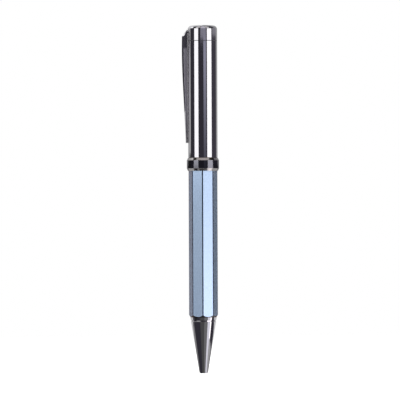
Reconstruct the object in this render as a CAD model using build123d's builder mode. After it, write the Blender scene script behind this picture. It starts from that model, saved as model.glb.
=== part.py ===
from build123d import *
from math import cos, pi, radians, sin, sqrt, tan
import os

# Twist-action ballpoint pen. A round plated cap turns on an octagonal lacquered barrel and drives
# the refill out through a pin that runs in a straight and in a helical slot.
# Millimetres. The pen's axis is Z with the writing point down, the clip faces -Y, and the origin is
# on the axis at mid-height of the centre ring.

# Lengths along the axis, from the nose up. The barrel is as long as the refill and its drive need.
nose_cone_length = 20.4
nose_ring_length = 1.7
centre_ring_length = 5.05
cap_tube_length = 45.6
crown_height = 6.2

# Fits
fit_gap = 0.02  # pressed, screwed and seated pieces, on the radius
running_gap = 0.06  # pieces that turn or slide in one another
pin_gap = 0.08  # cam pin in its slots, on each side

# Radial build-up, from the refill outwards
refill_diameter = 5.9
refill_clearance = 0.38
spigot_wall = 0.95
barrel_wall = 0.95  # at the middle of a facet
guide_wall = 0.55
cam_wall = 0.55
drive_wall = 0.62
cap_wall = 0.6

# Lower barrel
barrel_sides = 8
barrel_edge_radius = 0.65
barrel_turned_angle = 30.0  # turned lower end, from the axis
barrel_turned_bulge = 0.02  # of that end above its chord

# Nose
nose_step = 0.08  # nose below the facets, on the radius
nose_end_diameter = 3.3
nose_lip_radius = 0.7
nose_groove_width = 0.3
nose_groove_depth = 0.28
nose_spigot_depth = 7.0
point_hole_diameter = 1.8
point_hole_length = 1.5
tip_guide_diameter = 2.7
spring_seat_height = 7.0
seam_chamfer = 0.12  # broken edges beside the seams that show

# Centre ring and coupler
ring_stand = 0.55  # ring above the cap tube, on the radius
ring_end_stand = 0.12  # ends of the ring above the cap tube
ring_chamfer_height = 0.95
ring_edge_radius = 0.15
coupler_wall = 0.8
coupler_depth = 8.0
coupler_floor = 0.9
bearing_length = 4.0

# Twist mechanism
point_travel = 4.2
cam_turn = 180.0
cam_sleeve_length = 13.0
cam_pin_diameter = 1.2
cam_pin_drop = 4.0  # pin below the top of the cam sleeve, point in
guide_collar_height = 1.0
guide_top_length = 0.7  # guide tube above its retaining ring
guide_room = 5.8  # guide tube below the crown plug
retaining_ring_thickness = 0.6
retaining_groove_depth = 0.25
retaining_ring_opening = 3.2
key_width = 1.6
key_length = 2.4
drive_sleeve_inset = 0.3
plunger_length = 15.95
plunger_head_length = 4.0
plunger_waist_diameter = 4.8
plunger_top_length = 2.0

# Refill
refill_length = 98.0
point_recess = 1.2  # ball inside the nose, point in
refill_wall = 0.3
refill_shoulder_height = 18.5  # above the ball
refill_shoulder_diameter = 4.4
refill_neck_diameter = 2.9
refill_neck_height = 10.5
ball_diameter = 1.0
ball_reach = 0.35  # ball below the lip of its socket
ball_gap = 0.02
tip_lip_diameter = 1.16
tip_spigot_diameter = 1.5
tip_spigot_start = 1.4
tip_spigot_end = 4.6
tip_shank_diameter = 2.3
tip_shank_start = 5.2
tip_seat = 2.5
ink_channel_diameter = 0.6
plug_seat = 5.0
plug_head_length = 2.2
plug_notch_width = 1.2
plug_notch_depth = 1.4
plug_notch_count = 3
plug_vent_diameter = 1.0

# Return spring
spring_wire = 0.4
spring_coils = 7
spring_clearance = 0.1  # inside its bore, on the radius
shoulder_room = 0.7  # refill shoulder above the nose's inner cone, point out
nose_inner_cone_length = 1.3

# Crown and clip root
crown_wall = 0.7
crown_roof = 2.4
crown_dome_rise = 0.35
crown_edge_radius = 1.45
boss_diameter = 3.6
plug_depth = 5.5
flex_room = 0.4  # below the clip's lug, for its spring
tongue_thickness = 0.7
tongue_width = 3.6
tongue_root = 0.6  # tongue inside the clip's root, beyond the crown's wall
tongue_gap = 0.12
lug_diameter = 6.8
lug_hole_gap = 0.3
screw_diameter = 2.0
screw_head_diameter = 4.2
screw_head_height = 1.5
screw_slot_width = 0.6
screw_slot_depth = 0.7

# Clip
clip_top_drop = 1.9  # below the crown's top, at the crown's wall
clip_length = 44.1
clip_straight_length = 13.5
clip_slope = 54.0  # sloped top, from the horizontal
clip_shoulder_radius = 0.9  # sloped top into the face
clip_shoulder_steps = 4
clip_tip_depth = 0.3  # over the flanks' feet, at the very top
clip_top_width = 4.4
clip_end_width = 3.0
clip_top_face = 3.0
clip_end_face = 1.5
clip_bevel_width = 0.65  # bevels beside the face
clip_bevel_share = 0.38  # of the clip's depth that the bevels take
clip_top_reach = 2.22  # face above the cap tube
clip_end_reach = 0.9
clip_wall = 0.55
clip_gap = 0.22  # root off the crown and the cap tube
clip_foot_gap = 0.1  # feet of the flanks in front of the cap tube
clip_bead_length = 5.4
clip_root_length = 6.7
clip_edge_radius = 0.15
clip_trim = 0.2  # outside the flanks, of the outline that rounds the clip's corners
clip_corner_radius = 0.8  # of that outline at the end
clip_brow_radius = 0.4  # of that outline at the top

# Stations along the axis: up from the centre ring to the crown, then down through the drive and the
# refill to the nose
ring_top = centre_ring_length / 2
ring_bottom = -ring_top
cap_bottom = ring_top + running_gap
cap_top = cap_bottom + cap_tube_length
crown_top = cap_top + crown_height
roof_under = crown_top - crown_roof
tongue_top = roof_under - tongue_gap
tongue_bottom = tongue_top - tongue_thickness
plug_top = tongue_bottom - flex_room
plug_bottom = cap_top - plug_depth
clip_top = crown_top - clip_top_drop
clip_end = clip_top - clip_length
guide_seat = ring_bottom + coupler_floor
guide_top = plug_bottom - guide_room
retaining_top = guide_top - guide_top_length
retaining_bottom = retaining_top - retaining_ring_thickness
cam_top = retaining_bottom - running_gap
cam_bottom = cam_top - cam_sleeve_length
pin_high = cam_top - cam_pin_drop
pin_low = pin_high - point_travel
plunger_top = pin_high + plunger_top_length
refill_top = plunger_top - plunger_length
ball_bottom = refill_top - refill_length
refill_shoulder = ball_bottom + refill_shoulder_height
nose_end = ball_bottom - point_recess
spring_seat = nose_end + spring_seat_height
nose_shoulder = nose_end + nose_cone_length
barrel_bottom = nose_shoulder + nose_ring_length
barrel_length = ring_bottom - barrel_bottom

# Radii
refill_radius = refill_diameter / 2
bore_radius = refill_radius + refill_clearance
spigot_radius = bore_radius + spigot_wall
barrel_bore_radius = spigot_radius + fit_gap
flat_radius = barrel_bore_radius + barrel_wall
corner_radius = flat_radius / cos(pi / barrel_sides)
guide_radius = bore_radius + guide_wall
cam_bore_radius = guide_radius + running_gap
cam_radius = cam_bore_radius + cam_wall
drive_bore_radius = cam_radius + fit_gap
drive_radius = drive_bore_radius + drive_wall
cap_bore_radius = drive_radius + fit_gap
cap_radius = cap_bore_radius + cap_wall
ring_radius = cap_radius + ring_stand
ring_end_radius = cap_radius + ring_end_stand
journal_radius = guide_radius + fit_gap + coupler_wall
nose_top_radius = flat_radius - nose_step
nose_end_radius = nose_end_diameter / 2
hole_radius = point_hole_diameter / 2
tip_guide_radius = tip_guide_diameter / 2
neck_radius = refill_neck_diameter / 2
spring_radius = neck_radius + spring_clearance + spring_wire / 2
spring_bore_radius = spring_radius + spring_wire / 2 + spring_clearance
crown_bore_radius = cap_radius - crown_wall
slot_width = cam_pin_diameter + 2 * pin_gap


def outline(*points):
    """Closed outline on the pen's meridian plane, from (radius, height) points."""
    with BuildSketch(Plane.XZ) as profile:
        with BuildLine():
            Polyline(*points, close=True)
        make_face()
    return profile.sketch


def nose_radius(height):
    """Outer radius of the nose's taper, which the nose ring and the nose cone share."""
    slope = (nose_top_radius - nose_end_radius) / (barrel_bottom - nose_end)
    return nose_end_radius + slope * (height - nose_end)


# Lower barrel: an octagonal tube whose lower end is turned down to the nose ring
with BuildPart() as lower_barrel:
    with BuildSketch(Plane.XY.offset(barrel_bottom)):
        RegularPolygon(flat_radius, barrel_sides, major_radius=False)
    extrude(amount=barrel_length)
    fillet(lower_barrel.edges().filter_by(Axis.Z), barrel_edge_radius)
    turned_tilt = radians(barrel_turned_angle)
    turned_low = Vector(nose_top_radius, barrel_bottom)
    turned_high = Vector(corner_radius, barrel_bottom + (corner_radius - nose_top_radius) / tan(turned_tilt))
    turned_crown = Vector(cos(turned_tilt), -sin(turned_tilt)) * barrel_turned_bulge
    with BuildSketch(Plane.XZ):
        with BuildLine():
            ThreePointArc(turned_low, (turned_low + turned_high) / 2 + turned_crown, turned_high)
            Polyline(turned_high, (corner_radius, ring_bottom), (0, ring_bottom), (0, barrel_bottom), turned_low)
        make_face()
    revolve(axis=Axis.Z, mode=Mode.INTERSECT)
    with Locations((0, 0, ring_bottom)):
        Hole(barrel_bore_radius)

# Nose ring: slipped over the nose cone's spigot and clamped against the barrel
with BuildPart() as nose_ring:
    ring_seat = nose_shoulder + nose_groove_width
    revolve(
        outline(
            (spigot_radius + fit_gap, ring_seat),
            (nose_radius(ring_seat) - seam_chamfer, ring_seat),
            (nose_radius(ring_seat + seam_chamfer), ring_seat + seam_chamfer),
            (nose_radius(barrel_bottom - seam_chamfer), barrel_bottom - seam_chamfer),
            (nose_top_radius - seam_chamfer, barrel_bottom),
            (spigot_radius + fit_gap, barrel_bottom),
        ),
        axis=Axis.Z,
    )

# Nose cone: taper, groove under the nose ring and screwed spigot, bored in steps for the point, the
# spring and the refill
with BuildPart() as nose_cone:
    inner_cone_top = refill_shoulder - point_travel - shoulder_room
    lip_room = nose_end_radius - hole_radius
    revolve(
        outline(
            (0, nose_end),
            (nose_end_radius, nose_end),
            (nose_radius(nose_shoulder - seam_chamfer), nose_shoulder - seam_chamfer),
            (nose_radius(nose_shoulder) - seam_chamfer, nose_shoulder),
            (nose_radius(nose_shoulder) - nose_groove_depth, nose_shoulder),
            (nose_radius(nose_shoulder) - nose_groove_depth, ring_seat),
            (spigot_radius, ring_seat),
            (spigot_radius, barrel_bottom + nose_spigot_depth),
            (0, barrel_bottom + nose_spigot_depth),
        ),
        axis=Axis.Z,
    )
    nose_rim = nose_cone.edges().filter_by(GeomType.CIRCLE).sort_by(Axis.Z)[0]
    fillet(nose_rim, min(nose_lip_radius, lip_room))
    revolve(
        outline(
            (0, nose_end),
            (hole_radius, nose_end),
            (hole_radius, nose_end + point_hole_length),
            (tip_guide_radius, nose_end + point_hole_length + tip_guide_radius - hole_radius),
            (tip_guide_radius, spring_seat),
            (spring_bore_radius, spring_seat),
            (spring_bore_radius, inner_cone_top - nose_inner_cone_length),
            (bore_radius, inner_cone_top),
            (bore_radius, barrel_bottom + nose_spigot_depth),
            (0, barrel_bottom + nose_spigot_depth),
        ),
        axis=Axis.Z,
        mode=Mode.SUBTRACT,
    )

# Centre ring: round band with a slanting chamfer at each end
with BuildPart() as centre_ring:
    revolve(
        outline(
            (journal_radius + fit_gap, ring_bottom),
            (ring_end_radius, ring_bottom),
            (ring_radius, ring_bottom + ring_chamfer_height),
            (ring_radius, ring_top - ring_chamfer_height),
            (ring_end_radius, ring_top),
            (journal_radius + fit_gap, ring_top),
        ),
        axis=Axis.Z,
    )
    band_edges = centre_ring.edges().filter_by(GeomType.CIRCLE).group_by(SortBy.RADIUS)[-1]
    fillet(band_edges, ring_edge_radius)

# Barrel coupler: spigot in the barrel, seat for the centre ring and journal for the cap tube
with BuildPart() as barrel_coupler:
    revolve(
        outline(
            (bore_radius, ring_bottom - coupler_depth),
            (spigot_radius, ring_bottom - coupler_depth),
            (spigot_radius, ring_bottom),
            (journal_radius, ring_bottom),
            (journal_radius, ring_top),
            (cap_bore_radius - running_gap, ring_top),
            (cap_bore_radius - running_gap, ring_top + bearing_length),
            (guide_radius + fit_gap, ring_top + bearing_length),
            (guide_radius + fit_gap, guide_seat),
            (bore_radius, guide_seat),
        ),
        axis=Axis.Z,
    )

# Guide tube: stands in the coupler, with a collar under the cam sleeve, a groove for the retaining
# ring and a straight slot on each side for the cam pin
with BuildPart() as guide_tube:
    collar_top = cam_bottom - running_gap
    collar_bottom = collar_top - guide_collar_height
    groove_radius = guide_radius - retaining_groove_depth
    revolve(
        outline(
            (bore_radius, guide_seat),
            (guide_radius, guide_seat),
            (guide_radius, collar_bottom),
            (cam_radius, collar_bottom),
            (cam_radius, collar_top),
            (guide_radius, collar_top),
            (guide_radius, retaining_bottom),
            (groove_radius, retaining_bottom),
            (groove_radius, retaining_top),
            (guide_radius, retaining_top),
            (guide_radius, guide_top),
            (bore_radius, guide_top),
        ),
        axis=Axis.Z,
    )
    with BuildSketch(Plane.YZ):
        with Locations((0, (pin_high + pin_low) / 2)):
            SlotCenterToCenter(point_travel, slot_width, rotation=90)
    extrude(amount=guide_radius, both=True, mode=Mode.SUBTRACT)

# One helical slot, swept half a turn round the axis from the pin's low place up to its high place
with BuildPart() as helical_slot:
    slot_depth = 2 * (cam_wall + running_gap)
    slot_path_radius = cam_bore_radius + cam_wall / 2
    slot_lead = point_travel * 360 / cam_turn
    with BuildLine() as slot_path:
        Helix(slot_lead, point_travel, slot_path_radius, center=(0, 0, pin_low), lefthand=True)
    slot_curve = slot_path.line
    with BuildSketch(Plane(slot_curve @ 0, x_dir=(1, 0, 0), z_dir=slot_curve % 0)):
        Rectangle(slot_depth, slot_width)
    sweep(path=slot_curve, is_frenet=True)
    for slot_end in (slot_curve @ 0, slot_curve @ 1):
        outward = Vector(slot_end.X, slot_end.Y, 0)
        with BuildSketch(Plane(slot_end, z_dir=outward)):
            Circle(slot_width / 2)
        extrude(amount=slot_depth / 2, both=True)

# Cam sleeve: turns with the cap, with a helical slot for each end of the pin and two key slots
with BuildPart() as cam_sleeve:
    with BuildSketch(Plane.XY.offset(cam_bottom)):
        Circle(cam_radius)
        Circle(cam_bore_radius, mode=Mode.SUBTRACT)
    extrude(amount=cam_sleeve_length)
    with PolarLocations(0, 2):
        add(helical_slot.part, mode=Mode.SUBTRACT)
    with BuildSketch(Plane.XY.offset(cam_top)):
        Rectangle(key_width, 2 * cam_radius)
    extrude(amount=-key_length, mode=Mode.SUBTRACT)

# Drive sleeve: bush pressed into the cap tube, with two keys in the cam sleeve's slots
with BuildPart() as drive_sleeve:
    with BuildSketch(Plane.XY.offset(cam_bottom + drive_sleeve_inset)):
        Circle(drive_radius)
        Circle(drive_bore_radius, mode=Mode.SUBTRACT)
    extrude(amount=cam_sleeve_length - drive_sleeve_inset)
    with BuildSketch(Plane.XY.offset(cam_top)):
        Rectangle(key_width - 2 * fit_gap, 2 * drive_radius)
        Circle(drive_radius, mode=Mode.INTERSECT)
        Circle(cam_bore_radius + running_gap, mode=Mode.SUBTRACT)
    extrude(amount=-(key_length - fit_gap))

# Retaining ring: sprung into the guide tube's groove, open on the side away from the clip
with BuildPart() as retaining_ring:
    with BuildSketch(Plane.XY.offset(retaining_bottom)):
        Circle(cam_radius - fit_gap)
        Circle(groove_radius, mode=Mode.SUBTRACT)
        with Locations((0, cam_radius)):
            Rectangle(retaining_ring_opening, 2 * cam_radius, mode=Mode.SUBTRACT)
    extrude(amount=retaining_ring_thickness)

# Plunger: head on the refill, waist, and a bored top that carries the cam pin
with BuildPart() as plunger:
    plunger_radius = bore_radius - running_gap
    waist_top = pin_low - plunger_top_length
    revolve(
        outline(
            (0, refill_top),
            (plunger_radius, refill_top),
            (plunger_radius, refill_top + plunger_head_length),
            (plunger_waist_diameter / 2, refill_top + plunger_head_length),
            (plunger_waist_diameter / 2, waist_top),
            (plunger_radius, waist_top),
            (plunger_radius, plunger_top),
            (0, plunger_top),
        ),
        axis=Axis.Z,
    )
    with BuildSketch(Plane.YZ):
        with Locations((0, pin_high)):
            Circle(cam_pin_diameter / 2 + fit_gap)
    extrude(amount=plunger_radius, both=True, mode=Mode.SUBTRACT)

# Cam pin: crosses the plunger and reaches through both slots
with BuildPart() as cam_pin:
    with BuildSketch(Plane.YZ):
        with Locations((0, pin_high)):
            Circle(cam_pin_diameter / 2)
    extrude(amount=cam_radius - running_gap, both=True)
    chamfer(cam_pin.edges().filter_by(GeomType.CIRCLE), seam_chamfer)

# Cap tube: plain plated tube with its two outer edges broken
with BuildPart() as cap_tube:
    with BuildSketch(Plane.XY.offset(cap_bottom)):
        Circle(cap_radius)
        Circle(cap_bore_radius, mode=Mode.SUBTRACT)
    extrude(amount=cap_tube_length)
    chamfer(cap_tube.edges().filter_by(GeomType.CIRCLE).group_by(SortBy.RADIUS)[-1], seam_chamfer)

# Crown: domed shell with a boss for its screw and a window for the clip's tongue
with BuildPart() as crown:
    dome_edge = crown_top - crown_dome_rise
    dome_radius = (cap_radius**2 + crown_dome_rise**2) / (2 * crown_dome_rise)
    dome_centre = crown_top - dome_radius
    half_way = (cap_radius / 2, dome_centre + sqrt(dome_radius**2 - cap_radius**2 / 4))
    with BuildSketch(Plane.XZ):
        with BuildLine():
            ThreePointArc((cap_radius, dome_edge), half_way, (0, crown_top))
            Polyline((0, crown_top), (0, cap_top), (cap_radius, cap_top), (cap_radius, dome_edge))
        make_face()
    revolve(axis=Axis.Z)
    crown_rims = crown.edges().filter_by(lambda edge: edge.is_closed).sort_by(Axis.Z)
    fillet(crown_rims[-1], crown_edge_radius)
    chamfer(crown_rims[0], seam_chamfer)
    with BuildSketch(Plane.XY.offset(cap_top)):
        Circle(crown_bore_radius)
    extrude(amount=roof_under - cap_top, mode=Mode.SUBTRACT)
    with BuildSketch(Plane.XY.offset(plug_top)):
        Circle(boss_diameter / 2)
    extrude(until=Until.NEXT)
    with BuildSketch(Plane.XY.offset(plug_top)):
        Circle(screw_diameter / 2 + fit_gap)
    extrude(amount=roof_under - plug_top, mode=Mode.SUBTRACT)
    with BuildSketch(Plane.XZ):
        with Locations((0, (tongue_top + tongue_bottom) / 2)):
            Rectangle(tongue_width + 2 * tongue_gap, tongue_thickness + 2 * tongue_gap)
    extrude(amount=cap_radius, mode=Mode.SUBTRACT)

# Crown plug: stands in the cap tube and the crown, and is bored for the crown's screw
with BuildPart() as crown_plug:
    revolve(
        outline(
            (0, plug_bottom),
            (cap_bore_radius - fit_gap, plug_bottom),
            (cap_bore_radius - fit_gap, cap_top),
            (crown_bore_radius - fit_gap, cap_top),
            (crown_bore_radius - fit_gap, plug_top),
            (0, plug_top),
        ),
        axis=Axis.Z,
    )
    with BuildSketch(Plane.XY.offset(plug_bottom)):
        Circle(screw_head_diameter / 2 + running_gap)
    extrude(amount=screw_head_height, mode=Mode.SUBTRACT)
    with Locations((0, 0, plug_top)):
        Hole(screw_diameter / 2 + running_gap)

# Crown screw: slotted head under the plug, shank up into the crown's boss
with BuildPart() as crown_screw:
    head_top = plug_bottom + screw_head_height
    revolve(
        outline(
            (0, plug_bottom),
            (screw_head_diameter / 2, plug_bottom),
            (screw_head_diameter / 2, head_top),
            (screw_diameter / 2, head_top),
            (screw_diameter / 2, tongue_top),
            (0, tongue_top),
        ),
        axis=Axis.Z,
    )
    with BuildSketch(Plane.XY.offset(plug_bottom)):
        Rectangle(screw_head_diameter, screw_slot_width)
    extrude(amount=screw_slot_depth, mode=Mode.SUBTRACT)


# Clip's profile: feet of its flanks, and the shoulder between its straight face and its sloped top
slope = radians(clip_slope)
clip_foot = cap_radius + clip_foot_gap
shoulder_tangent = clip_shoulder_radius * tan((pi / 2 - slope) / 2)
slope_start = clip_top - (clip_top_reach - clip_foot_gap - clip_tip_depth) * tan(slope)
shoulder_start = slope_start - shoulder_tangent
shoulder_end = slope_start + shoulder_tangent * sin(slope)


def clip_width(height):
    """Clip width over the flanks at a height."""
    return clip_end_width + (clip_top_width - clip_end_width) * (height - clip_end) / clip_length


def clip_face(height):
    """Width of the clip's flat face at a height."""
    return clip_end_face + (clip_top_face - clip_end_face) * (height - clip_end) / clip_length


def clip_reach(height):
    """Distance of the clip's flat face from the axis: drawn in, straight, rounded and then sloped."""
    share = min(1.0, (height - clip_end) / (clip_length - clip_straight_length))
    reach = cap_radius + clip_end_reach + (clip_top_reach - clip_end_reach) * share
    if height > shoulder_end:
        return clip_foot + clip_tip_depth + (clip_top - height) / tan(slope)
    if height > shoulder_start:
        return reach - clip_shoulder_radius + sqrt(clip_shoulder_radius**2 - (height - shoulder_start) ** 2)
    return reach


def clip_section(height):
    """Cross-section of the clip at a height: flat face, two bevels and two flanks."""
    half_width = clip_width(height) / 2
    half_face = clip_face(height) / 2
    half_bevel = half_face + clip_bevel_width
    face = -clip_reach(height)
    bevel = face + (clip_reach(height) - clip_foot) * clip_bevel_share
    with BuildSketch(Plane.XY.offset(height)) as section:
        Polygon(
            (-half_face, face),
            (half_face, face),
            (half_bevel, bevel),
            (half_width, -clip_foot),
            (-half_width, -clip_foot),
            (-half_bevel, bevel),
            align=None,
        )
        fillet(vertices().sort_by(Axis.Y)[:4], clip_edge_radius)
    return section.sketch


def clip_channel(height):
    """Cross-section of the hollow behind the clip's face at a height."""
    half_width = clip_width(height) / 2 - clip_wall
    half_face = (clip_face(height) - clip_wall) / 2
    face = clip_wall - clip_reach(height)
    with BuildSketch(Plane.XY.offset(height)) as section:
        Polygon(
            (-half_face, face),
            (half_face, face),
            (half_width, -clip_foot),
            (-half_width, -clip_foot),
            align=None,
        )
    return section.sketch


# Clip: tapered channel with a sloped top, a solid root on a lugged tongue, and a bead at the end
with BuildPart() as clip:
    clip_bend = clip_top - clip_straight_length
    clip_middle = (clip_bend + clip_end) / 2
    root_bottom = clip_top - clip_root_length
    bead_top = clip_end + clip_bead_length
    shoulder_step = (shoulder_end - shoulder_start) / clip_shoulder_steps
    shoulder_heights = [shoulder_start + shoulder_step * count for count in range(clip_shoulder_steps + 1)]
    loft([clip_section(z) for z in (clip_end, clip_middle, clip_bend, shoulder_start)])
    loft([clip_section(z) for z in (*shoulder_heights, clip_top)], ruled=True)
    with BuildSketch(Plane.XZ):
        Polygon(
            (-clip_top_width / 2 - clip_trim, clip_top),
            (clip_top_width / 2 + clip_trim, clip_top),
            (clip_end_width / 2 + clip_trim, clip_end),
            (-clip_end_width / 2 - clip_trim, clip_end),
            align=None,
        )
        fillet(vertices().group_by(Axis.Y)[-1], clip_brow_radius)
        fillet(vertices().group_by(Axis.Y)[0], clip_corner_radius)
    extrude(amount=2 * cap_radius, mode=Mode.INTERSECT)
    with BuildSketch(Plane.XY.offset(bead_top)):
        Circle(cap_radius + clip_gap)
    extrude(amount=clip_length, mode=Mode.SUBTRACT)
    with BuildSketch(Plane.XY.offset(tongue_bottom)):
        Circle(lug_diameter / 2)
        Rectangle(tongue_width, cap_radius + tongue_root, align=(Align.CENTER, Align.MAX))
        Circle(boss_diameter / 2 + lug_hole_gap, mode=Mode.SUBTRACT)
    extrude(amount=tongue_thickness)
    loft([clip_channel(z) for z in (bead_top, clip_bend, root_bottom)], mode=Mode.SUBTRACT)

# Refill tube: drawn tube with a shoulder for the spring and a neck that holds the tip
with BuildPart() as refill_tube:
    plug_seat_bottom = refill_top - plug_head_length
    shoulder_radius = refill_shoulder_diameter / 2
    shoulder_rise = refill_radius - shoulder_radius
    tip_radius = tip_shank_diameter / 2
    neck_bottom = ball_bottom + refill_neck_height
    revolve(
        outline(
            (tip_radius + fit_gap, neck_bottom),
            (neck_radius, neck_bottom),
            (neck_radius, refill_shoulder),
            (shoulder_radius, refill_shoulder),
            (refill_radius, refill_shoulder + shoulder_rise),
            (refill_radius, plug_seat_bottom),
            (refill_radius - refill_wall, plug_seat_bottom),
            (refill_radius - refill_wall, refill_shoulder + shoulder_rise + refill_wall),
            (shoulder_radius - refill_wall, refill_shoulder + refill_wall),
            (tip_radius + fit_gap, refill_shoulder + refill_wall),
        ),
        axis=Axis.Z,
    )

# Refill tip: stepped point with the ball's socket at its lip and an ink channel through it
with BuildPart() as refill_tip:
    tip_lip = ball_bottom + ball_reach
    tip_top = neck_bottom + tip_seat
    ball_centre = ball_bottom + ball_diameter / 2
    revolve(
        outline(
            (0, tip_lip),
            (tip_lip_diameter / 2, tip_lip),
            (tip_spigot_diameter / 2, ball_bottom + tip_spigot_start),
            (tip_spigot_diameter / 2, ball_bottom + tip_spigot_end),
            (tip_radius, ball_bottom + tip_shank_start),
            (tip_radius, tip_top),
            (0, tip_top),
        ),
        axis=Axis.Z,
    )
    with Locations((0, 0, ball_centre)):
        Sphere(ball_diameter / 2 + ball_gap, mode=Mode.SUBTRACT)
    with Locations((0, 0, tip_top)):
        Hole(ink_channel_diameter / 2, depth=tip_top - ball_centre)

# Writing ball
with BuildPart() as writing_ball:
    with Locations((0, 0, ball_centre)):
        Sphere(ball_diameter / 2)

# Refill plug: moulded end with a vent and notches across its head
with BuildPart() as refill_plug:
    revolve(
        outline(
            (plug_vent_diameter / 2, plug_seat_bottom - plug_seat),
            (refill_radius - refill_wall - fit_gap, plug_seat_bottom - plug_seat),
            (refill_radius - refill_wall - fit_gap, plug_seat_bottom),
            (refill_radius, plug_seat_bottom),
            (refill_radius, refill_top),
            (plug_vent_diameter / 2, refill_top),
        ),
        axis=Axis.Z,
    )
    with BuildSketch(Plane.XY.offset(refill_top)):
        with PolarLocations(0, plug_notch_count):
            Rectangle(refill_diameter, plug_notch_width)
    extrude(amount=-plug_notch_depth, mode=Mode.SUBTRACT)

# Return spring: one wire wound on quarter turns, each made of two arcs that meet in line
spring_bottom = spring_seat + spring_wire / 2
spring_top = refill_shoulder - spring_wire / 2
spring_pitch = (spring_top - spring_bottom) / spring_coils


def wire_point(turn):
    """Point on the spring's helix after a number of turns."""
    return Vector(spring_radius, 0, spring_bottom + spring_pitch * turn).rotate(Axis.Z, 360 * turn)


def wire_direction(turn):
    """Direction of the spring's helix after a number of turns."""
    return Vector(0, 2 * pi * spring_radius, spring_pitch).rotate(Axis.Z, 360 * turn).normalized()


with BuildPart() as return_spring:
    with BuildLine() as spring_path:
        for quarter in range(4 * spring_coils):
            start, end = wire_point(quarter / 4), wire_point((quarter + 1) / 4)
            leave, arrive = wire_direction(quarter / 4), wire_direction((quarter + 1) / 4)
            chord, both = end - start, leave + arrive
            square = 4 - both.dot(both)
            reach = (sqrt(chord.dot(both) ** 2 + square * chord.dot(chord)) - chord.dot(both)) / square
            joint = (start + leave * reach + end - arrive * reach) * 0.5
            first = TangentArc(start, joint, tangent=leave)
            TangentArc(joint, end, tangent=first % 1)
    with BuildSketch(Plane(spring_path.line @ 0, z_dir=spring_path.line % 0)):
        Circle(spring_wire / 2)
    sweep(path=spring_path.line)

print(f"return_spring: least gap between its turns {spring_pitch - spring_wire:.2f} mm")

pieces = {
    "lower_barrel": lower_barrel,
    "nose_ring": nose_ring,
    "nose_cone": nose_cone,
    "centre_ring": centre_ring,
    "barrel_coupler": barrel_coupler,
    "guide_tube": guide_tube,
    "retaining_ring": retaining_ring,
    "cam_sleeve": cam_sleeve,
    "drive_sleeve": drive_sleeve,
    "plunger": plunger,
    "cam_pin": cam_pin,
    "cap_tube": cap_tube,
    "crown": crown,
    "crown_plug": crown_plug,
    "crown_screw": crown_screw,
    "clip": clip,
    "return_spring": return_spring,
    "refill_tube": refill_tube,
    "refill_tip": refill_tip,
    "writing_ball": writing_ball,
    "refill_plug": refill_plug,
}

os.makedirs("parts", exist_ok=True)
for name, piece in pieces.items():
    piece.part.label = name
    export_step(piece.part, f"parts/{name}.step")
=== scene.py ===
"""Looks of a twist ballpoint pen: its finishes, its wound spring and the studio round it.

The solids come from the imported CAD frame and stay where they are. Metres, with the pen's axis on Z,
the writing point down and the clip towards -Y.
"""

import logging
import math
from abc import ABC, abstractmethod
from dataclasses import dataclass
from enum import Enum

import bmesh
import bpy
from mathutils import Matrix, Vector


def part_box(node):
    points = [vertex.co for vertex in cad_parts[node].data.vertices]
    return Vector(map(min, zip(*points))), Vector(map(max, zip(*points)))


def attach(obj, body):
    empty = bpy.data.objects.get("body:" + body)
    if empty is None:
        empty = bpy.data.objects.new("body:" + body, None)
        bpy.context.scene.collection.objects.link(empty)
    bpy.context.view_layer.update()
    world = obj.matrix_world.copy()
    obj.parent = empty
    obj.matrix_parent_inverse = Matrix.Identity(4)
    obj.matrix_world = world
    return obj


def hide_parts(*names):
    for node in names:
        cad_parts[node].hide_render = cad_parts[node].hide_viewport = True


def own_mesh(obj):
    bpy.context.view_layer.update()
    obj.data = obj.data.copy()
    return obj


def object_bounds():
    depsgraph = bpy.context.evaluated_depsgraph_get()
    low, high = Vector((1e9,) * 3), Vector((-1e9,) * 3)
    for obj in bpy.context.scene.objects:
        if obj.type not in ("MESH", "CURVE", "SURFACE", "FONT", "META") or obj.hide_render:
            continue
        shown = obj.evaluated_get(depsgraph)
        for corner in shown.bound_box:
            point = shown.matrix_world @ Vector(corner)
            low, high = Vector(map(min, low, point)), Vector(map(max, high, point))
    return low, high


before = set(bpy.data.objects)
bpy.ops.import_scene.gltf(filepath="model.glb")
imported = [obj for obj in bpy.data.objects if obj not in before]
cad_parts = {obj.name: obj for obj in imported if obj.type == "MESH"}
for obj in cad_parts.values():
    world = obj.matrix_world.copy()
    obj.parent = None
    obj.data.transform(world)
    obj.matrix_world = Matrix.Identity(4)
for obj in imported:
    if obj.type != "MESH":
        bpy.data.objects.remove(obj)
CAD_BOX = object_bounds()
Colour = tuple[float, float, float]
Socket = bpy.types.NodeSocket
Number = float | Socket
log = logging.getLogger("pen")


class Slope(str, Enum):
    """Ways that a face may slope, named as the outputs of the slope mask."""

    UPRIGHT = "Upright"
    SLOPED = "Sloped"
    DOWNWARD = "Downward"


class ClipFaces(str, Enum):
    """Groups of the clip's faces, named as the outputs of the clip mask."""

    FLANK = "Flank"
    ENDS = "Ends"
    INNER = "Inner"


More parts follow.
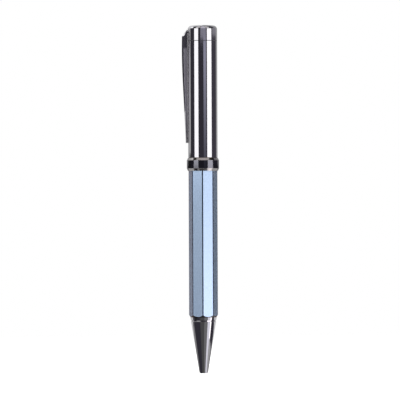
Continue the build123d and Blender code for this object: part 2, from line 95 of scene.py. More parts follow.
class Wiring:
    """Adds and links the nodes of one shader tree.

    A Mix node has sockets of one name for each kind of value, so those for colours go by their places.
    """

    mix_colours = (6, 7)
    mix_result = 2

    def __init__(self, tree: bpy.types.NodeTree) -> None:
        """Starts from an empty tree."""
        self.tree = tree
        tree.nodes.clear()

    def feed(self, value: object, target: Socket) -> None:
        """Sets an input to a value, or links an output to it.

        Args:
            value: A number, a vector, a colour or an output socket.
            target: The input.
        """
        if isinstance(value, Socket):
            self.tree.links.new(value, target)
        else:
            target.default_value = value

    def add(
        self, kind: str, inputs: dict[str | int, object] | None = None, **settings: object
    ) -> bpy.types.Node:
        """Adds one node.

        Args:
            kind: Blender's name of the node type.
            inputs: Input name or index to a value, or to an output socket to link.
            settings: Properties of the node itself.

        Returns:
            The new node.
        """
        node = self.tree.nodes.new(kind)
        for name, value in settings.items():
            setattr(node, name, value)
        for name, value in (inputs or {}).items():
            self.feed(value, node.inputs[name])
        return node

    def math(self, operation: str, *values: Number) -> Socket:
        """Adds a Math node with these values in order, and returns its output."""
        return self.add("ShaderNodeMath", dict(enumerate(values)), operation=operation).outputs[0]

    def remap(
        self,
        value: Socket,
        low: float,
        high: float,
        start: float = 0.0,
        stop: float = 1.0,
        smooth: bool = False,
    ) -> Socket:
        """Spreads a value over low to high.

        Args:
            value: The output socket to spread.
            low: Result at the start and before it.
            high: Result at the stop and past it.
            start: Value to start at.
            stop: Value to stop at, which may lie below the start.
            smooth: Whether the result eases in and out.

        Returns:
            The spread value's socket.
        """
        return self.add(
            "ShaderNodeMapRange",
            {"Value": value, "From Min": start, "From Max": stop, "To Min": low, "To Max": high},
            interpolation_type="SMOOTHSTEP" if smooth else "LINEAR",
        ).outputs[0]

    def mix(self, share: Number, first: Colour | Socket, second: Colour | Socket) -> Socket:
        """Mixes two colours.

        Args:
            share: Share of the second colour.
            first: First colour.
            second: Second colour.

        Returns:
            The mixed colour's socket.
        """
        node = self.add("ShaderNodeMix", {0: share}, data_type="RGBA")
        for index, colour in zip(self.mix_colours, (first, second)):
            value = colour if isinstance(colour, Socket) else (*colour, 1.0)
            self.feed(value, node.inputs[index])
        return node.outputs[self.mix_result]

    def bump(self, height: Socket, depth: float) -> Socket:
        """Turns a height from 0 to 1 into the normal of a relief of that depth in metres."""
        relief = self.add("ShaderNodeBump", {"Height": height, "Distance": depth, "Strength": 1.0})
        return relief.outputs[0]


class Effect:
    """Base of the shader node groups that the finishes share."""

    name: str
    inputs: dict[str, float]
    outputs: tuple[str, ...]

    @classmethod
    def group(cls) -> bpy.types.NodeTree:
        """Finds the group, or builds it on its first use.

        Returns:
            The group's node tree.
        """
        made = bpy.data.node_groups.get(cls.name)
        if made:
            return made
        tree = bpy.data.node_groups.new(cls.name, "ShaderNodeTree")
        wiring = Wiring(tree)
        for name, value in cls.inputs.items():
            socket = tree.interface.new_socket(name, in_out="INPUT", socket_type="NodeSocketFloat")
            socket.default_value = value
        for name in cls.outputs:
            tree.interface.new_socket(name, in_out="OUTPUT", socket_type="NodeSocketFloat")
        given = wiring.add("NodeGroupInput")
        wiring.add("NodeGroupOutput", cls.draw(wiring, given))
        return tree

    @classmethod
    def draw(cls, wiring: Wiring, given: bpy.types.Node) -> dict[str, Socket]:
        """Draws the group's nodes, and returns each output's name with the socket that feeds it."""
        raise NotImplementedError

    @classmethod
    def place(cls, wiring: Wiring, **values: float) -> bpy.types.Node:
        """Places the group in a material with these input values, and returns its node."""
        return wiring.add("ShaderNodeGroup", values, node_tree=cls.group())


class PolishMarks(Effect):
    """Fine rings left by turning and polishing about the pen's axis, broken up round the piece."""

    name = "polish_marks"
    inputs = {"Rings": 9000.0, "Breaks": 260.0}
    outputs = ("Marks",)
    detail = 3.0

    @classmethod
    def draw(cls, wiring: Wiring, given: bpy.types.Node) -> dict[str, Socket]:
        """Stretches a noise round the axis.

        Args:
            wiring: The group's wiring.
            given: The group's input node.

        Returns:
            Output name to the socket that feeds it.
        """
        place = wiring.add("ShaderNodeTexCoord").outputs["Object"]
        rings, breaks = given.outputs["Rings"], given.outputs["Breaks"]
        scale = wiring.add("ShaderNodeCombineXYZ", {"X": breaks, "Y": breaks, "Z": rings}).outputs[0]
        spot = wiring.add("ShaderNodeVectorMath", {0: place, 1: scale}, operation="MULTIPLY").outputs[0]
        noise = wiring.add("ShaderNodeTexNoise", {"Vector": spot, "Scale": 1.0, "Detail": cls.detail})
        return {"Marks": noise.outputs[0]}


class Handling(Effect):
    """Soft cloudy patches where a surface has been handled."""

    name = "handling"
    inputs = {"Scale": 120.0}
    outputs = ("Patches",)
    detail = 4.0
    clean = 0.5
    soiled = 0.8

    @classmethod
    def draw(cls, wiring: Wiring, given: bpy.types.Node) -> dict[str, Socket]:
        """Clips a broad noise so that most of the surface stays clean.

        Args:
            wiring: The group's wiring.
            given: The group's input node.

        Returns:
            Output name to the socket that feeds it.
        """
        place = wiring.add("ShaderNodeTexCoord").outputs["Object"]
        scale = given.outputs["Scale"]
        noise = wiring.add("ShaderNodeTexNoise", {"Vector": place, "Scale": scale, "Detail": cls.detail})
        return {"Patches": wiring.remap(noise.outputs[0], 0.0, 1.0, cls.clean, cls.soiled, smooth=True)}


class Grain(Effect):
    """Fine grain of metallic flake or moulded plastic."""

    name = "grain"
    inputs = {"Scale": 9000.0}
    outputs = ("Grain",)

    @classmethod
    def draw(cls, wiring: Wiring, given: bpy.types.Node) -> dict[str, Socket]:
        """Breaks the surface into small cells of random tone.

        Args:
            wiring: The group's wiring.
            given: The group's input node.

        Returns:
            Output name to the socket that feeds it.
        """
        place = wiring.add("ShaderNodeTexCoord").outputs["Object"]
        cells = wiring.add("ShaderNodeTexVoronoi", {"Vector": place, "Scale": given.outputs["Scale"]})
        tone = wiring.add("ShaderNodeSeparateColor", {0: cells.outputs["Color"]}).outputs[0]
        return {"Grain": tone}


class SlopeMask(Effect):
    """Masks of the faces that slope one way: 1 on those faces, 0 on the others."""

    name = "slope_mask"
    inputs = {"Slope": 0.12}
    outputs = tuple(slope.value for slope in Slope)

    @classmethod
    def draw(cls, wiring: Wiring, given: bpy.types.Node) -> dict[str, Socket]:
        """Compares the height of the face's normal with the slope.

        Args:
            wiring: The group's wiring.
            given: The group's input node.

        Returns:
            Output name to the socket that feeds it.
        """
        normal = wiring.add("ShaderNodeTexCoord").outputs["Normal"]
        rise = wiring.add("ShaderNodeSeparateXYZ", {0: normal}).outputs["Z"]
        fall = wiring.math("MULTIPLY", rise, -1.0)
        limit = given.outputs["Slope"]
        sloped = wiring.math("GREATER_THAN", wiring.math("ABSOLUTE", rise), limit)
        return {
            Slope.UPRIGHT.value: wiring.math("SUBTRACT", 1.0, sloped),
            Slope.SLOPED.value: sloped,
            Slope.DOWNWARD.value: wiring.math("GREATER_THAN", fall, limit),
        }


class ClipMask(Effect):
    """Masks of the clip's outer flanks, of both ends of the flanks, which take painted shade, and of the
    clip's inner side.

    An end fades in from one reach to another, measured from the clip's own end.
    """

    name = "clip_mask"
    inputs = {"Turn": 0.8, "Inward": 0.3}
    outputs = tuple(faces.value for faces in ClipFaces)
    # Reaches over which the painted shade fades in at each end of the flanks.
    low_fade = (0.0131, 0.0041)
    high_fade = (0.0075, 0.0067)

    @classmethod
    def draw(cls, wiring: Wiring, given: bpy.types.Node) -> dict[str, Socket]:
        """Compares the face's normal with two limits, and its height with the clip's ends.

        Args:
            wiring: The group's wiring.
            given: The group's input node.

        Returns:
            Output name to the socket that feeds it.
        """
        coordinates = wiring.add("ShaderNodeTexCoord").outputs
        normal = wiring.add("ShaderNodeSeparateXYZ", {0: coordinates["Normal"]}).outputs
        place = wiring.add("ShaderNodeSeparateXYZ", {0: coordinates["Object"]}).outputs
        outward = wiring.math("MULTIPLY", normal["X"], wiring.math("SIGN", place["X"]))
        flank = wiring.math("GREATER_THAN", outward, given.outputs["Turn"])
        low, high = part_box("clip")
        lower = wiring.remap(place["Z"], 0.0, 1.0, *(low.z + reach for reach in cls.low_fade))
        upper = wiring.remap(place["Z"], 0.0, 1.0, *(high.z - reach for reach in cls.high_fade))
        inward = wiring.math("MAXIMUM", normal["Y"], wiring.math("MULTIPLY", outward, -1.0))
        return {
            ClipFaces.FLANK.value: flank,
            ClipFaces.ENDS.value: wiring.math("MULTIPLY", flank, wiring.math("MAXIMUM", lower, upper)),
            ClipFaces.INNER.value: wiring.math("GREATER_THAN", inward, given.outputs["Inward"]),
        }


def start_material(name: str) -> tuple[bpy.types.Material, Wiring]:
    """Starts a material that has no nodes yet.

    Args:
        name: The material's name.

    Returns:
        The material and its wiring.
    """
    material = bpy.data.materials.new(name)
    material.use_nodes = True
    return material, Wiring(material.node_tree)


@dataclass(frozen=True)
class Finish(ABC):
    """A surface finish that makes one material."""

    name: str
    colour: Colour

    def make(self) -> bpy.types.Material:
        """Makes the material.

        Returns:
            The finished material.
        """
        material, wiring = start_material(self.name)
        shader = wiring.add("ShaderNodeBsdfPrincipled", self.shade(wiring))
        wiring.add("ShaderNodeOutputMaterial", {"Surface": shader.outputs[0]})
        return material

    @abstractmethod
    def shade(self, wiring: Wiring) -> dict[str, object]:
        """Returns the inputs of the Principled shader by name, each a value or a socket."""

    def darker(self, share: float) -> Colour:
        """Returns the colour times a share."""
        return tuple(part * share for part in self.colour)


@dataclass(frozen=True)
class Variant:
    """A change of a plating on some of a piece's faces."""

    faces: Slope | ClipFaces
    colour: Colour
    rougher: float = 0.0
    metallic: float = 1.0

    def mask(self, wiring: Wiring) -> Socket:
        """Places the mask that is 1 on those faces and 0 on the others, and returns its output."""
        effect = ClipMask if isinstance(self.faces, ClipFaces) else SlopeMask
        return effect.place(wiring).outputs[self.faces.value]


@dataclass(frozen=True)
class Plating(Finish):
    """Polished plating with faint polishing rings and handling marks, changed on some faces."""

    polished: float = 0.05
    handled: float = 0.11
    handling_share: float = 0.7
    mottle: float = 0.94
    variants: tuple[Variant, ...] = ()

    def shade(self, wiring: Wiring) -> dict[str, object]:
        """Mottles the colour and the roughness, then lays the variants over them.

        Args:
            wiring: The material's wiring.

        Returns:
            Name of the Principled shader's input to its value or socket.
        """
        marks = PolishMarks.place(wiring).outputs["Marks"]
        patches = Handling.place(wiring).outputs["Patches"]
        colour = wiring.mix(marks, self.darker(self.mottle), self.colour)
        ringed = wiring.math("MULTIPLY", marks, 1.0 - self.handling_share)
        worn = wiring.math("MULTIPLY_ADD", patches, self.handling_share, ringed)
        rough = wiring.remap(worn, self.polished, self.handled)
        metallic = 1.0
        for variant in self.variants:
            mask = variant.mask(wiring)
            colour = wiring.mix(mask, colour, variant.colour)
            rough = wiring.math("MULTIPLY_ADD", mask, variant.rougher, rough)
            if variant.metallic < 1.0:
                metallic = wiring.math("MULTIPLY_ADD", mask, variant.metallic - 1.0, metallic)
        return {"Base Color": colour, "Roughness": rough, "Metallic": metallic}


@dataclass(frozen=True)
class Lacquer(Finish):
    """Metallic lacquer under a clear coat, cut back to bare metal on the turned end.

    It looks greyer at a grazing angle. The edges between the facets are darkened with painted shade.
    They are told by a wave that runs once round each facet's share of the turn, and is -1 on the facets
    themselves.
    """

    # Painted shade: the dark colour laid on the rounded edges between the facets.
    edge_shade_colour: Colour = (0.015, 0.03, 0.075)
    bare_colour: Colour = (0.2, 0.19, 0.19)
    grazing_tint: Colour = (1.0, 0.42, 0.1)
    metallic: float = 0.75
    roughness: float = 0.17
    handled_roughness: float = 0.22
    bare_roughness: float = 0.12
    bare_slope: float = 0.2
    patch_scale: float = 90.0
    flake: float = 0.92
    coat: float = 0.2
    coat_roughness: float = 0.06
    facets: int = 8
    facet_wave: float = -0.97
    edge_wave: float = -0.75

    def shade(self, wiring: Wiring) -> dict[str, object]:
        """Mixes flaked lacquer and bare metal by the slope of the face.

        Args:
            wiring: The material's wiring.

        Returns:
            Name of the Principled shader's input to its value or socket.
        """
        grain = Grain.place(wiring).outputs["Grain"]
        patches = Handling.place(wiring, Scale=self.patch_scale).outputs["Patches"]
        bare = SlopeMask.place(wiring, Slope=self.bare_slope).outputs[Slope.DOWNWARD.value]
        flaked = wiring.mix(grain, self.darker(self.flake), self.colour)
        # Painted shade: the facet edges are darkened in the lacquer's colour.
        lacquer = wiring.mix(self.edges(wiring), flaked, self.edge_shade_colour)
        rough = wiring.remap(patches, self.roughness, self.handled_roughness)
        return {
            "Base Color": wiring.mix(bare, lacquer, self.bare_colour),
            "Roughness": wiring.math("MULTIPLY_ADD", bare, self.bare_roughness - self.roughness, rough),
            "Metallic": wiring.remap(bare, self.metallic, 1.0),
            "Specular Tint": (*self.grazing_tint, 1.0),
            "Coat Weight": wiring.remap(bare, self.coat, 0.0),
            "Coat Roughness": self.coat_roughness,
        }

    def edges(self, wiring: Wiring) -> Socket:
        """Masks the rounded edges between the facets, which are darkened with painted shade.

        Args:
            wiring: The material's wiring.

        Returns:
            1 on the edges, 0 on the facets.
        """
        normal = wiring.add("ShaderNodeTexCoord").outputs["Normal"]
        parts = wiring.add("ShaderNodeSeparateXYZ", {0: normal}).outputs
        bearing = wiring.math("ARCTAN2", parts["Y"], parts["X"])
        wave = wiring.math("COSINE", wiring.math("MULTIPLY", bearing, self.facets))
        return wiring.remap(wave, 0.0, 1.0, self.facet_wave, self.edge_wave)


@dataclass(frozen=True)
class TurnedMetal(Finish):
    """Bare metal with the rings of turning or drawing in it."""

    fine: float = 0.22
    coarse: float = 0.36
    rings: float = 7000.0
    ring_shade: float = 0.82
    depth: float = 0.000004

    def shade(self, wiring: Wiring) -> dict[str, object]:
        """Lets the rings show in colour, roughness and relief.

        Args:
            wiring: The material's wiring.

        Returns:
            Name of the Principled shader's input to its value or socket.
        """
        marks = PolishMarks.place(wiring, Rings=self.rings).outputs["Marks"]
        return {
            "Base Color": wiring.mix(marks, self.darker(self.ring_shade), self.colour),
            "Roughness": wiring.remap(marks, self.fine, self.coarse),
            "Metallic": 1.0,
            "Normal": wiring.bump(marks, self.depth),
        }


@dataclass(frozen=True)
class Moulded(Finish):
    """Moulded plastic with a fine grain."""

    fine: float = 0.4
    coarse: float = 0.48
    grain_scale: float = 6000.0
    grain_shade: float = 0.93
    depth: float = 0.000003

    def shade(self, wiring: Wiring) -> dict[str, object]:
        """Lets the grain show in colour, roughness and relief.

        Args:
            wiring: The material's wiring.

        Returns:
            Name of the Principled shader's input to its value or socket.
        """
        grain = Grain.place(wiring, Scale=self.grain_scale).outputs["Grain"]
        return {
            "Base Color": wiring.mix(grain, self.darker(self.grain_shade), self.colour),
            "Roughness": wiring.remap(grain, self.fine, self.coarse),
            "Normal": wiring.bump(grain, self.depth),
        }


def add_object(name: str, bm: bmesh.types.BMesh, material: bpy.types.Material) -> bpy.types.Object:
    """Makes a scene object at the origin.

    Args:
        name: The object's name.
        bm: Its mesh, which is freed.
        material: Its material.

    Returns:
        The new object.
    """
    mesh = bpy.data.meshes.new(name)
    bm.to_mesh(mesh)
    bm.free()
    mesh.materials.append(material)
    made = bpy.data.objects.new(name, mesh)
    bpy.context.scene.collection.objects.link(made)
    return made


@dataclass
class SubAssembly(ABC):
    """CAD nodes that are dressed together."""

    title: str

    @abstractmethod
    def finishes(self) -> dict[Finish, tuple[str, ...]]:
        """Returns each finish with the nodes that wear it."""

    def dress(self) -> None:
        """Gives each CAD node its material."""
        for finish, nodes in self.finishes().items():
            material = finish.make()
            for name in nodes:
                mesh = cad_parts[name].data
                mesh.materials.clear()
                mesh.materials.append(material)
                log.info("%s: %s in %s", self.title, name, finish.name)

    def build(self) -> None:
        """Builds the sub-assembly's own pieces, where it has any."""


CHROME: Colour = (0.70, 0.69, 0.72)
# Darker chrome for the broken edges of the seams: painted seam shadow.
SEAM_SHADOW_CHROME: Colour = (0.3, 0.3, 0.32)


@dataclass
class Barrel(SubAssembly):
    """Octagonal lower barrel."""

    title: str = "barrel"
    lacquer: Finish = Lacquer("blue lacquer", (0.42, 0.55, 0.75))

    def finishes(self) -> dict[Finish, tuple[str, ...]]:
        """Returns the lacquer of the barrel."""
        return {self.lacquer: ("lower_barrel",)}


@dataclass
class CentreRing(SubAssembly):
    """Ring between the halves, darker round its band."""

    title: str = "centre ring"
    plating: Finish = Plating(
        "banded plating",
        (0.42, 0.405, 0.405),
        polished=0.13,
        handled=0.19,
        variants=(Variant(Slope.UPRIGHT, (0.23, 0.23, 0.265), rougher=-0.07),),
    )

    def finishes(self) -> dict[Finish, tuple[str, ...]]:
        """Returns the plating of the ring."""
        return {self.plating: ("centre_ring",)}


@dataclass
class Cap(SubAssembly):
    """Cap tube and crown, with the broken edges of their seams rougher and darkened as painted seam
    shadow.
    """

    title: str = "cap"
    # The seam edges are rougher, and darkened in colour as painted seam shadow.
    tube: Finish = Plating(
        "cap plating", CHROME, variants=(Variant(Slope.SLOPED, SEAM_SHADOW_CHROME, rougher=0.3),)
    )
    crown: Finish = Plating(
        "crown plating", CHROME, variants=(Variant(Slope.DOWNWARD, SEAM_SHADOW_CHROME, rougher=0.3),)
    )

    def finishes(self) -> dict[Finish, tuple[str, ...]]:
        """Returns the platings of the tube and the crown."""
        return {self.tube: ("cap_tube",), self.crown: ("crown",)}


@dataclass
class Clip(SubAssembly):
    """Clip with a polished face, flanks in painted reflection that deepens to painted shade at both
    ends, and an inner side painted pale and matt as painted light.
    """

    title: str = "clip"
    plating: Finish = Plating(
        "clip plating",
        CHROME,
        variants=(
            # Painted reflection: the flanks' darker, part-metallic grey stands in for what the polished
            # flanks reflect.
            Variant(ClipFaces.FLANK, (0.33, 0.315, 0.365), metallic=0.7),
            # Painted shade: the flanks go near black towards both ends of the clip.
            Variant(ClipFaces.ENDS, (0.085, 0.08, 0.1)),
            # Painted light: the inner side is pale and matt, standing in for light inside the hollow
            # under the clip.
            Variant(ClipFaces.INNER, (0.9, 0.88, 0.9), rougher=0.3, metallic=0.0),
        ),
    )

    def finishes(self) -> dict[Finish, tuple[str, ...]]:
        """Returns the plating of the clip."""
        return {self.plating: ("clip",)}


@dataclass
class Drive(SubAssembly):
    """Twist mechanism, coupler and crown plug."""

    title: str = "drive"
    brass: Finish = TurnedMetal("brass", (0.78, 0.58, 0.28))
    steel: Finish = TurnedMetal("steel", (0.58, 0.58, 0.6))
    acetal: Finish = Moulded("acetal", (0.82, 0.82, 0.79))

    def finishes(self) -> dict[Finish, tuple[str, ...]]:
        """Returns the finishes of the drive."""
        return {
            self.brass: ("barrel_coupler", "guide_tube", "cam_sleeve", "crown_plug"),
            self.steel: ("retaining_ring", "cam_pin", "crown_screw"),
            self.acetal: ("drive_sleeve", "plunger"),
        }


@dataclass
class Refill(SubAssembly):
    """Refill with its point and its ball."""

    title: str = "refill"
    tube: Finish = TurnedMetal("drawn tube", (0.66, 0.66, 0.67), rings=1200.0)
    tip: Finish = TurnedMetal("nickel silver", (0.7, 0.65, 0.53), rings=5000.0)
    ball: Finish = TurnedMetal("ground carbide", (0.38, 0.38, 0.4), fine=0.06, coarse=0.12)
    plug: Finish = Moulded("refill plug", (0.07, 0.1, 0.3))

    def finishes(self) -> dict[Finish, tuple[str, ...]]:
        """Returns the finishes of the refill."""
        return {
            self.tube: ("refill_tube",),
            self.tip: ("refill_tip",),
            self.ball: ("writing_ball",),
            self.plug: ("refill_plug",),
        }


@dataclass
class Nose(SubAssembly):
    """Nose ring, nose cone and the return spring inside it."""

    title: str = "nose"
    plating: Finish = Plating("nose plating", CHROME)
    spring: Finish = TurnedMetal("spring wire", (0.6, 0.6, 0.62), rings=2600.0)
    spring_slot: str = "spring_steel"
    wire: float = 0.0004
    wire_sides: int = 12
    active_turns: int = 7
    end_turns: int = 1
    steps: int = 24

    def finishes(self) -> dict[Finish, tuple[str, ...]]:
        """Returns the plating of the ring and the cone."""
        return {self.plating: ("nose_ring", "nose_cone")}

    def wind(self, reach: float, foot: float, length: float) -> bmesh.types.BMesh:
        """Winds the spring's wire, with closed turns at both ends.

        Args:
            reach: Outer radius of the spring.
            foot: Height of its lower end.
            length: Its length.

        Returns:
            The wire's mesh.
        """
        bm = bmesh.new()
        radius = self.wire / 2
        start = Matrix.Translation((reach - radius, 0, foot + radius))
        bmesh.ops.create_circle(
            bm,
            segments=self.wire_sides,
            radius=radius,
            matrix=start @ Matrix.Rotation(math.pi / 2, 4, "X"),
        )
        closed = (self.end_turns, self.wire)
        rise = length - self.wire - 2 * self.end_turns * self.wire
        rim = bm.edges[:]
        for turns, pitch in (closed, (self.active_turns, rise / self.active_turns), closed):
            wound = bmesh.ops.spin(
                bm,
                geom=rim,
                cent=(0, 0, 0),
                axis=(0, 0, 1),
                dvec=(0, 0, pitch / self.steps),
                angle=2 * math.pi * turns,
                steps=self.steps * turns,
            )
            rim = [part for part in wound["geom_last"] if isinstance(part, bmesh.types.BMEdge)]
        bmesh.ops.holes_fill(bm, edges=[edge for edge in bm.edges if edge.is_boundary])
        bmesh.ops.recalc_face_normals(bm, faces=bm.faces)
        return bm

    def build(self) -> None:
        """Adds the wound spring in place of the CAD spring, hung on the barrel's body."""
        low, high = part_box("return_spring")
        length = high.z - low.z
        piece = add_object("wound_spring", self.wind(high.x, low.z, length), self.spring.make())
        piece.data.shade_smooth()
        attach(piece, "barrel")
        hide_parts("return_spring")
        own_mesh(piece)
        log.info("%s: wound_spring stands for return_spring", self.title)


class Sweep(Enum):
    """Where a studio card runs.

    The first value is how far out it lies on the floor, or 0 where it doesn't. Then come the points of
    its wall, each a radius and a height.
    """

    WHOLE = (0.3, ((0.3, 0.36), (0.2, 0.62), (0.04, 0.72)))
    LOWER = (0.3, ((0.3, 0.003),))
    WALL = (0.0, ((0.3, -0.083), (0.3, 0.003)))
    UPPER = (0.0, ((0.3, 0.003), (0.3, 0.36), (0.2, 0.62), (0.04, 0.72)))
    LINTEL = (0.0, ((0.29, 0.064), (0.29, 0.36), (0.19, 0.61)))
    CROWN = (0.0, ((0.3, 0.066), (0.3, 0.36)))
    BROW = (0.0, ((0.3, 0.15), (0.3, 0.29)))
    LEDGE = (0.0, ((0.3, -0.01), (0.3, 0.008)))
    PATCH = (0.0, ((0.3, 0.14), (0.3, 0.255)))
    FRONT = (0.0, ((0.3, 0.235), (0.3, 0.36)))
    NEAR = (0.062, ())
    FAR = (0.11, ())
    OUTER = (0.147, ())
    FLOOR = (0.3, ())


@dataclass(frozen=True)
class Card:
    """A studio card that only polished surfaces see, from one bearing round the pen to another.

    Bearings are in degrees from the camera's, anticlockwise seen from above. The foot is the radius at
    which a card's floor part starts. A card's glow may change between two heights.
    """

    name: str
    start: float
    stop: float
    glow: float
    foot: float = 0.0014
    sweep: Sweep = Sweep.WHOLE
    low_glow: float | None = None
    heights: tuple[float, float] = (-0.075, 0.0)
    tint: Colour = (1.0, 1.0, 1.0)


@dataclass(frozen=True)
class Lamp:
    """A soft lamp at a bearing and an elevation, turned to the pen."""

    name: str
    bearing: float
    elevation: float
    power: float
    width: float = 0.4
    height: float = 0.8


@dataclass
class Studio:
    """Pale floor, soft lamps, reflection cards and the camera.

    Each card stands a little nearer than the one before it, by a share of its radius, and lies a little
    higher on the floor, so that it hides what is behind it.
    """

    ambient: float = 0.35
    floor_drop: float = 0.003
    floor_radius: float = 0.4
    floor_clear: float = 0.15
    floor_sides: int = 96
    floor_colour: Colour = (0.9, 0.9, 0.9)
    floor_roughness: float = 0.9
    card_step: float = 3.0
    card_nearing: float = 0.01
    card_lift: float = 0.0004
    card_lift_step: float = 0.0001
    lamp_distance: float = 0.7
    camera_bearing: float = 2.0
    camera_distance: float = 1.12
    camera_height: float = -0.0139
    camera_aside: float = -0.0012
    camera_roll: float = -0.23
    camera_sensor: float = 36.0
    camera_range: tuple[float, float] = (0.01, 20.0)
    frame_width: float = 0.1563
    cards: tuple[Card, ...] = (
        Card("surround", 0, 360, 0.042, tint=(0.95, 0.9, 1.15)),
        Card("outer floor", 0, 360, 0.7, foot=0.11, sweep=Sweep.FLOOR),
        Card(
            "lintel",
            -16,
            26,
            0.65,
            sweep=Sweep.LINTEL,
            low_glow=0.28,
            heights=(0.064, 0.3),
            tint=(1.0, 0.98, 1.16),
        ),
        Card("dim", 7, 27, 0.36, low_glow=0.06, heights=(0.0, 0.055), tint=(0.93, 0.93, 1.18)),
        Card("right upper", 35, 75, 0.7, sweep=Sweep.UPPER, low_glow=1.5, heights=(0.085, 0.13)),
        Card("right lower", 35, 77, 1.28, sweep=Sweep.LOWER, low_glow=1.95, tint=(1.04, 1.0, 1.0)),
        Card("right dim", 73, 128, 0.062, sweep=Sweep.UPPER, tint=(0.97, 0.9, 1.14)),
        Card("crown right", 81, 128, 0.29, sweep=Sweep.CROWN, tint=(1.0, 0.97, 1.08)),
        Card("right back", 128, 180, 0.42, sweep=Sweep.UPPER),
        Card("right back low", 128, 180, 0.42, sweep=Sweep.WALL),
        Card("right sliver", 118, 142, 0.055, sweep=Sweep.WALL, tint=(1.04, 0.97, 1.0)),
        Card("left back", 180, 251, 0.8, sweep=Sweep.UPPER, low_glow=0.5, heights=(0.085, 0.12)),
        Card("left back low", 180, 251, 0.5, sweep=Sweep.WALL),
        Card("left sliver", 209, 233, 0.15, sweep=Sweep.WALL, tint=(1.04, 0.98, 1.0)),
        Card("brow", 243, 272, 1.3, sweep=Sweep.BROW),
        Card("clip shade", 230, 262, 0.03, sweep=Sweep.LEDGE),
        Card("back ground", 128, 257, 0.28, sweep=Sweep.FAR),
        Card("left upper", 293, 326, 0.7, sweep=Sweep.UPPER, low_glow=1.45, heights=(0.085, 0.13)),
        Card("left lower", 290, 329, 0.58, foot=0.09, sweep=Sweep.LOWER, low_glow=0.36),
        Card("middle ground", -31, 8, 0.085, sweep=Sweep.FAR),
        Card("inner ground", 8, 39, 0.19, sweep=Sweep.FAR),
        Card("streak ground", 39, 66, 0.96, sweep=Sweep.FAR, tint=(0.97, 0.97, 1.05)),
        Card("right ground", 66, 118, 0.45, sweep=Sweep.NEAR),
        Card("ring front", -54, 50, 0.75, sweep=Sweep.FRONT, tint=(1.06, 0.98, 0.96)),
        Card("ring left", 280, 302, 0.02, sweep=Sweep.PATCH),
        Card("ring right", 57, 106, 0.02, sweep=Sweep.PATCH),
        Card("ring ground", 280, 313, 0.02, foot=0.096, sweep=Sweep.OUTER),
    )
    lamps: tuple[Lamp, ...] = (
        Lamp("key", 35, 25, 2.8),
        Lamp("fill", -50, 25, 2.5),
        Lamp("back right", 150, 25, 0.9),
        Lamp("back left", -130, 25, 2.0),
        Lamp("top", 0, 89, 6.5, width=0.9, height=0.9),
    )

    @property
    def floor_level(self) -> float:
        """Height of the floor, which the point just reaches when it is out."""
        return CAD_BOX[0].z - self.floor_drop

    def build(self) -> None:
        """Builds the whole studio."""
        bpy.context.scene.view_settings.view_transform = "Standard"
        self.light_world()
        self.lay_floor()
        for order, card in enumerate(self.cards):
            self.hang(card, order)
        for lamp in self.lamps:
            self.light(lamp)
        self.aim_camera()

    def light_world(self) -> None:
        """Makes the surroundings white to look at, and dimmer as a light."""
        world = bpy.data.worlds.new("white studio")
        bpy.context.scene.world = world
        world.use_nodes = True
        wiring = Wiring(world.node_tree)
        path = wiring.add("ShaderNodeLightPath").outputs
        seen = wiring.math("MAXIMUM", path["Is Camera Ray"], path["Is Glossy Ray"])
        seen = wiring.math("MAXIMUM", seen, path["Is Transmission Ray"])
        strength = wiring.remap(seen, self.ambient, 1.0)
        white = wiring.add("ShaderNodeBackground", {"Color": (1, 1, 1, 1), "Strength": strength})
        wiring.add("ShaderNodeOutputWorld", {"Surface": white.outputs[0]})

    def lay_floor(self) -> None:
        """Lays a round pale floor that fades into the white surroundings."""
        material, wiring = start_material("pale floor")
        place = wiring.add("ShaderNodeTexCoord").outputs["Object"]
        flat = wiring.add("ShaderNodeVectorMath", {0: place, 1: (1, 1, 0)}, operation="MULTIPLY")
        reach = wiring.add("ShaderNodeVectorMath", {0: flat.outputs[0]}, operation="LENGTH")
        fade = wiring.remap(
            reach.outputs["Value"], 1.0, 0.0, self.floor_clear, self.floor_radius, smooth=True
        )
        shader = wiring.add(
            "ShaderNodeBsdfPrincipled",
            {
                "Base Color": (*self.floor_colour, 1),
                "Roughness": self.floor_roughness,
                "Specular IOR Level": 0.0,
                "Alpha": fade,
            },
        )
        wiring.add("ShaderNodeOutputMaterial", {"Surface": shader.outputs[0]})
        bm = bmesh.new()
        bmesh.ops.create_circle(
            bm,
            cap_ends=True,
            segments=self.floor_sides,
            radius=self.floor_radius,
            matrix=Matrix.Translation((0, 0, self.floor_level)),
        )
        add_object("floor", bm, material)

    def hang(self, card: Card, order: int) -> None:
        """Hangs one card: out along the floor from its foot, then up and over.

        Args:
            card: The card.
            order: Its place in the row of cards.
        """
        nearer = 1 - self.card_nearing * order
        ground = self.floor_level + self.card_lift + self.card_lift_step * order
        spread, wall = card.sweep.value
        path = [(card.foot, ground), (spread, ground)] if spread else []
        path += wall
        bm = bmesh.new()
        profile = [bm.verts.new((radius * nearer, 0, height)) for radius, height in path]
        edges = [bm.edges.new(pair) for pair in zip(profile, profile[1:])]
        start = math.radians(card.start + self.camera_bearing)
        bmesh.ops.rotate(bm, verts=profile, matrix=Matrix.Rotation(start, 3, "Z"))
        width = card.stop - card.start
        bmesh.ops.spin(
            bm,
            geom=profile + edges,
            cent=(0, 0, 0),
            axis=(0, 0, 1),
            angle=math.radians(width),
            steps=max(2, round(width / self.card_step)),
            use_merge=width == 360,
        )
        piece = add_object(f"card {card.name}", bm, self.glow(card))
        for flag in ("visible_camera", "visible_diffuse", "visible_shadow", "visible_transmission"):
            setattr(piece, flag, False)

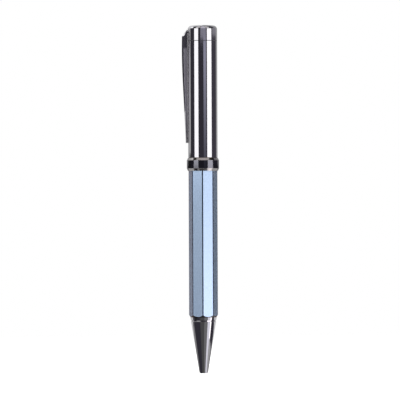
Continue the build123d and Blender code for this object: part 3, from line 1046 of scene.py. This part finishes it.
    def glow(self, card: Card) -> bpy.types.Material:
        """Makes a card's lit face.

        Args:
            card: The card.

        Returns:
            Its material.
        """
        material, wiring = start_material(f"card {card.name}")
        strength = card.glow
        if card.low_glow is not None:
            place = wiring.add("ShaderNodeTexCoord").outputs["Object"]
            height = wiring.add("ShaderNodeSeparateXYZ", {0: place}).outputs["Z"]
            strength = wiring.remap(height, card.low_glow, card.glow, *card.heights)
        light = wiring.add("ShaderNodeEmission", {"Color": (*card.tint, 1), "Strength": strength})
        wiring.add("ShaderNodeOutputMaterial", {"Surface": light.outputs[0]})
        return material

    def light(self, lamp: Lamp) -> None:
        """Stands a lamp and turns it to the pen.

        Args:
            lamp: The lamp.
        """
        data = bpy.data.lights.new(lamp.name, "AREA")
        data.shape = "RECTANGLE"
        data.size, data.size_y = lamp.width, lamp.height
        data.energy = lamp.power
        stand = bpy.data.objects.new(lamp.name, data)
        bearing = math.radians(lamp.bearing + self.camera_bearing)
        elevation = math.radians(lamp.elevation)
        flat = Vector((math.cos(bearing), math.sin(bearing), 0)) * math.cos(elevation)
        towards = flat + Vector((0, 0, math.sin(elevation)))
        stand.location = towards * self.lamp_distance
        stand.rotation_euler = towards.to_track_quat("Z", "Y").to_euler()
        stand.visible_camera = False
        stand.visible_glossy = False
        bpy.context.scene.collection.objects.link(stand)

    def aim_camera(self) -> None:
        """Sets the level camera at the photograph's side of the pen."""
        data = bpy.data.cameras.new("camera")
        data.sensor_width = self.camera_sensor
        data.lens = self.camera_sensor * self.camera_distance / self.frame_width
        data.clip_start, data.clip_end = self.camera_range
        camera = bpy.data.objects.new("camera", data)
        turn = Matrix.Rotation(math.radians(self.camera_bearing), 3, "Z")
        camera.location = turn @ Vector((self.camera_distance, self.camera_aside, self.camera_height))
        level = Vector((1, 0, 0)).to_track_quat("Z", "Y").to_matrix()
        roll = Matrix.Rotation(math.radians(self.camera_roll), 3, "Z")
        camera.rotation_euler = (turn @ level @ roll).to_euler()
        bpy.context.scene.collection.objects.link(camera)
        bpy.context.scene.camera = camera


def main() -> None:
    """Dresses the pen and sets the studio."""
    logging.basicConfig(level=logging.INFO, format="%(name)s: %(message)s")
    for part in (Barrel(), CentreRing(), Nose(), Cap(), Clip(), Drive(), Refill()):
        part.dress()
        part.build()
    Studio().build()


if __name__ == "__main__":
    main()
